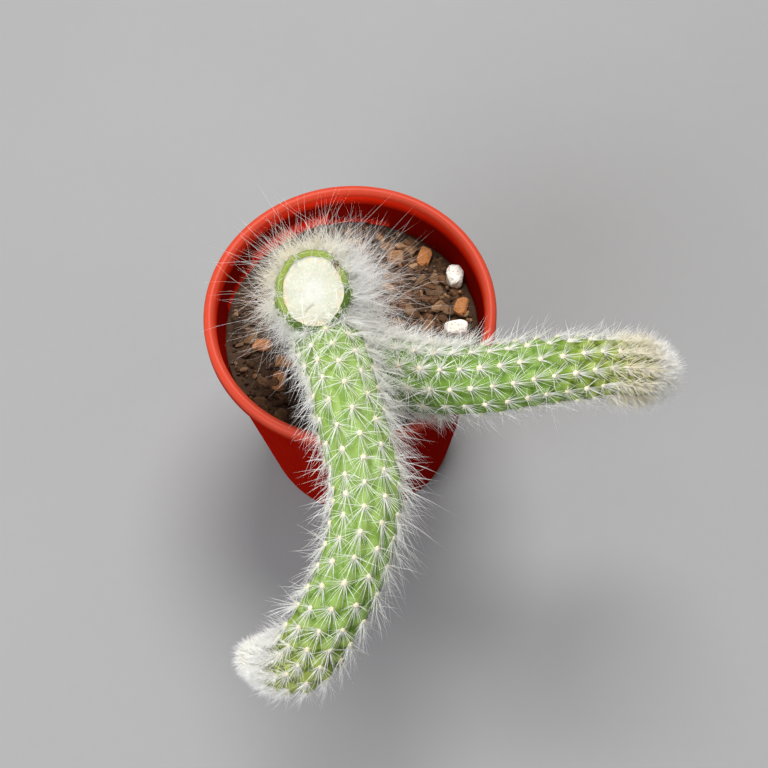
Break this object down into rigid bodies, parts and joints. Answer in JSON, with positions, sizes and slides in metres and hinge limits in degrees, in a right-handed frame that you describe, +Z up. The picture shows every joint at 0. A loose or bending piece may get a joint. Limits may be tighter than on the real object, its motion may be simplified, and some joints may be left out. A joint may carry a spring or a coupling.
{
  "type": "potted monkey tail cactus",
  "caption": "Hanging column cactus with a cut-back main stem and two long spiny shoots, growing in a small round nursery pot filled with bark mix.",
  "frame": {"origin": "middle of the pot's foot", "axes": "+Z up along the pot's axis; -Y towards the viewer of the picture, which is the side the front shoot hangs to; +X to the side the other shoot reaches"},
  "size_m": [0.1182, 0.1411, 0.1193],
  "materials": {
    "pot": "satin moulded plastic",
    "mix": "loose bark chips and peat",
    "stem": "soft green flesh with white hair and a pale cut top",
    "shoot": "soft green flesh with white spines"
  },
  "bodies": {
    "root": {"nursery_pot": "pot", "potting_mix": "mix", "main_stem": "stem", "front_shoot": "shoot", "right_shoot": "shoot"}
  },
  "joints": []
}
